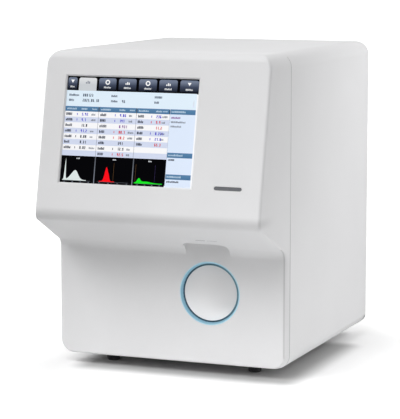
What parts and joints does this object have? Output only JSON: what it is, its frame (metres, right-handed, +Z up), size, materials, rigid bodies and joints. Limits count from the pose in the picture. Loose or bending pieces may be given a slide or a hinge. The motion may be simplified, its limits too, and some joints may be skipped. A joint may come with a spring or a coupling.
{
  "type": "hematology analyzer",
  "caption": "Compact bench blood cell analyzer with a leaning touch screen, a round sampling key, a probe pocket and a side service door.",
  "frame": {"origin": "middle of the outline, at the level of the feet's undersides", "axes": "+X to the object's left as seen from behind and to the right as seen from the front, +Y to the back, +Z up"},
  "size_m": [0.3028, 0.413, 0.3921],
  "materials": {
    "aluminium": "satin",
    "belt_black": "matte",
    "black_rubber": "matte",
    "board_green": "solder resist",
    "brass": "machined",
    "bright_steel": "ground",
    "case_white": "fine moulded texture",
    "clear_plastic": "clear",
    "cover_white": "satin",
    "dark_plastic": "matte",
    "grey_plastic": "matte",
    "key_white": "satin",
    "ring_blue": "clear blue light ring",
    "screen_glass": "gloss",
    "sheet_steel": "bare sheet"
  },
  "bodies": {
    "case": {"base_tray": "case_white", "bath_shelf": "sheet_steel", "data_ports": "sheet_steel", "diluent_port": "brass", "display_bracket": "sheet_steel", "display_module": "sheet_steel", "fan_frame": "dark_plastic", "fan_guard": "bright_steel", "foot_front_left": "black_rubber", "foot_front_right": "black_rubber", "foot_rear_left": "black_rubber", "foot_rear_right": "black_rubber", "front_cover": "cover_white", "hinge_bracket_lower": "sheet_steel", "hinge_bracket_upper": "sheet_steel", "key_guide": "grey_plastic", "key_ring": "ring_blue", "key_spring": "bright_steel", "key_switch": "dark_plastic", "lyse_port": "brass", "main_board": "board_green", "main_cover": "case_white", "mid_wall": "sheet_steel", "power_inlet": "dark_plastic", "power_supply": "sheet_steel", "rail_lower": "bright_steel", "rail_upper": "bright_steel", "rbc_bath": "clear_plastic", "rear_panel": "case_white", "sampling_belt": "belt_black", "sampling_frame": "sheet_steel", "sampling_motor": "dark_plastic", "status_lens": "grey_plastic", "syringe_barrel": "clear_plastic", "syringe_bracket": "sheet_steel", "syringe_motor": "dark_plastic", "touch_glass": "screen_glass", "vacuum_pump": "sheet_steel", "valve_bank": "grey_plastic", "waste_chamber": "clear_plastic", "waste_port": "brass", "waste_pump": "grey_plastic", "wbc_bath": "clear_plastic"},
    "door": {"right_door": "case_white"},
    "key": {"aspirate_key": "key_white"},
    "carriage": {"carriage": "aluminium", "lift_rod": "bright_steel", "lift_motor": "dark_plastic", "probe_wipe": "clear_plastic"},
    "lift_screw": {"lift_screw": "bright_steel"},
    "arm": {"probe_arm": "grey_plastic", "sample_probe": "bright_steel"},
    "drive_pulley": {"drive_pulley": "aluminium"},
    "idler_pulley": {"idler_pulley": "aluminium"},
    "plunger": {"syringe_plunger": "bright_steel"},
    "syringe_screw": {"syringe_screw": "bright_steel"},
    "fan_rotor": {"fan_rotor": "dark_plastic"},
    "power_rocker": {"power_rocker": "dark_plastic"},
    "pump_rotor": {"pump_rotor": "grey_plastic"}
  },
  "joints": [
    {"name": "key_press", "type": "slide", "parent": "case", "child": "key", "axis": [0, 1, 0], "range_m": [0, 0.003], "stiffness_N_per_m": 500, "springref_m": -0.002, "deforming": ["key_spring"]},
    {"name": "door_hinge", "type": "hinge", "parent": "case", "child": "door", "pos_m": [0.1434, 0.18446, 0.2028], "axis": [0, 0, 1], "range_deg": [0, 100]},
    {"name": "sampling_travel", "type": "slide", "parent": "case", "child": "carriage", "axis": [0, 1, 0], "range_m": [0, 0.165]},
    {"name": "drive_pulley_turn", "type": "hinge", "parent": "case", "child": "drive_pulley", "pos_m": [0.0055, 0.07476, 0.291], "axis": [1, 0, 0], "continuous": true},
    {"name": "idler_pulley_turn", "type": "hinge", "parent": "case", "child": "idler_pulley", "pos_m": [0.0055, -0.13024, 0.291], "axis": [1, 0, 0], "continuous": true},
    {"name": "probe_lift", "type": "slide", "parent": "carriage", "child": "arm", "axis": [0, 0, 1], "range_m": [-0.055, 0]},
    {"name": "lift_screw_turn", "type": "hinge", "parent": "carriage", "child": "lift_screw", "pos_m": [0.042, -0.11824, 0.3435], "axis": [0, 0, 1], "continuous": true},
    {"name": "syringe_stroke", "type": "slide", "parent": "case", "child": "plunger", "axis": [0, 0, 1], "range_m": [-0.05, 0]},
    {"name": "syringe_screw_turn", "type": "hinge", "parent": "case", "child": "syringe_screw", "pos_m": [0.012, 0.13376, 0.2035], "axis": [0, 0, 1], "continuous": true},
    {"name": "fan_spin", "type": "hinge", "parent": "case", "child": "fan_rotor", "pos_m": [-0.085, 0.17146, 0.3035], "axis": [0, 1, 0], "continuous": true},
    {"name": "power_switch", "type": "hinge", "parent": "case", "child": "power_rocker", "pos_m": [-0.095, 0.19126, 0.1385], "axis": [1, 0, 0], "range_deg": [0, 16]},
    {"name": "pump_spin", "type": "hinge", "parent": "case", "child": "pump_rotor", "pos_m": [0.0883, 0.10676, 0.0585], "axis": [1, 0, 0], "continuous": true}
  ],
  "couplings": [
    {"joint": "drive_pulley_turn", "follows": "sampling_travel", "rad_per_m": -142.86},
    {"joint": "idler_pulley_turn", "follows": "sampling_travel", "rad_per_m": -142.86},
    {"joint": "lift_screw_turn", "follows": "probe_lift", "rad_per_m": -628.32},
    {"joint": "syringe_screw_turn", "follows": "syringe_stroke", "rad_per_m": -1570.8}
  ]
}
